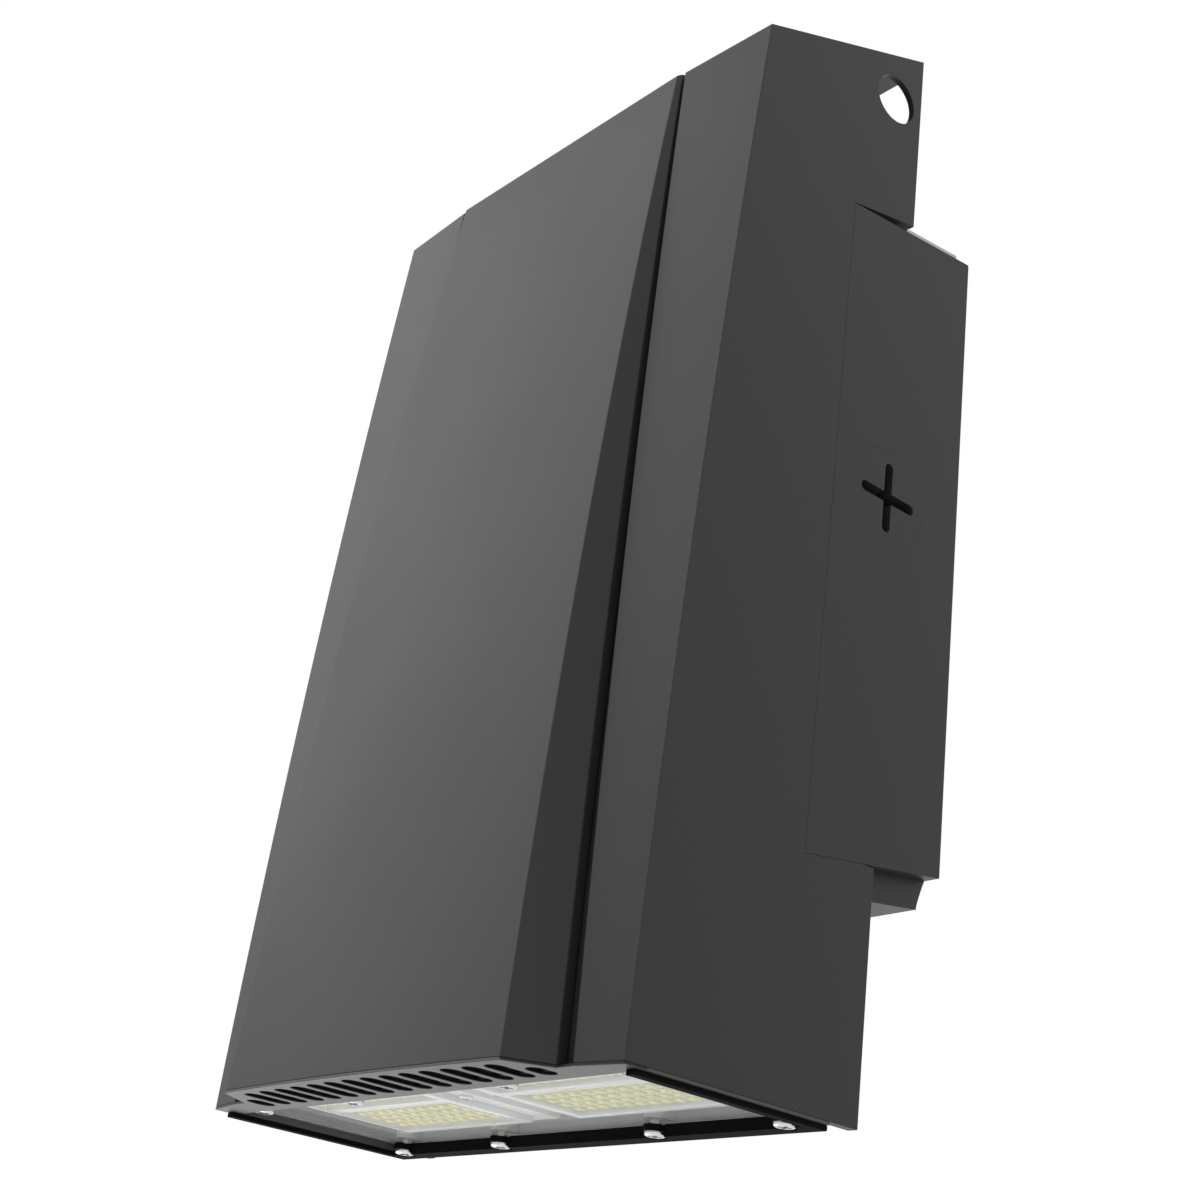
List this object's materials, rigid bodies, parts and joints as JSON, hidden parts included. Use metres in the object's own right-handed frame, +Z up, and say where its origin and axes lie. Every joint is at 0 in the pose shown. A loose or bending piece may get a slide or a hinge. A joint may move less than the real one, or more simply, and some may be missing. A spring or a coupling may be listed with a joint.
{
  "type": "wall pack light",
  "caption": "Outdoor wall pack light: a tall cast head with a downward LED engine, hinged on a flat wiring box that is screwed to the wall.",
  "frame": {"origin": "centre of the wiring box's wall face, in the middle of its four wall screws", "axes": "+X to the right seen from the front, +Y into the wall, +Z up"},
  "size_m": [0.18, 0.1197, 0.3374],
  "materials": {
    "paint": "satin dark bronze-grey powder coat",
    "engine_paint": "satin grey powder coat",
    "zinc": "zinc-plated sheet",
    "steel": "stainless screws",
    "green_screw": "green earth screw",
    "aluminium": "extruded, bare",
    "rubber": "black silicone",
    "white_plastic": "moulded",
    "black_plastic": "moulded",
    "pad": "soft thermal pad",
    "board": "white solder mask",
    "phosphor": "yellow phosphor under clear resin",
    "reflector": "pale grey moulded frame",
    "lens": "clear tempered"
  },
  "bodies": {
    "base": {"back_box": "paint", "wall_gasket": "rubber", "box_gasket": "rubber", "plug_left": "paint", "plug_right": "paint", "plug_seals": "rubber", "top_keeper": "zinc", "keeper_screws": "steel", "hinge_pins": "steel", "terminal_block": "white_plastic", "terminal_screws": "steel", "ground_screw": "green_screw"},
    "head": {"housing": "paint", "front_cover": "paint", "cover_screws": "steel", "driver_tray": "zinc", "tray_screws": "steel", "driver_case": "white_plastic", "driver_lid": "white_plastic", "driver_screws": "steel", "surge_protector": "black_plastic", "wire_grommet": "rubber", "closing_screws": "steel", "heat_sink": "aluminium", "board_screws": "steel", "thermal_pad": "pad", "led_board_left": "board", "led_board_right": "board", "led_chips_left": "phosphor", "led_chips_right": "phosphor", "reflector_left": "reflector", "reflector_right": "reflector", "engine_frame": "engine_paint", "lens": "lens", "lens_bezel": "rubber", "lens_screws": "steel", "lower_back_cover": "paint", "lower_cover_screws": "steel"}
  },
  "joints": [
    {"name": "head_hinge", "type": "hinge", "parent": "base", "child": "head", "pos_m": [0, -0.027, -0.099], "axis": [1, 0, 0], "range_deg": [0, 22]}
  ]
}
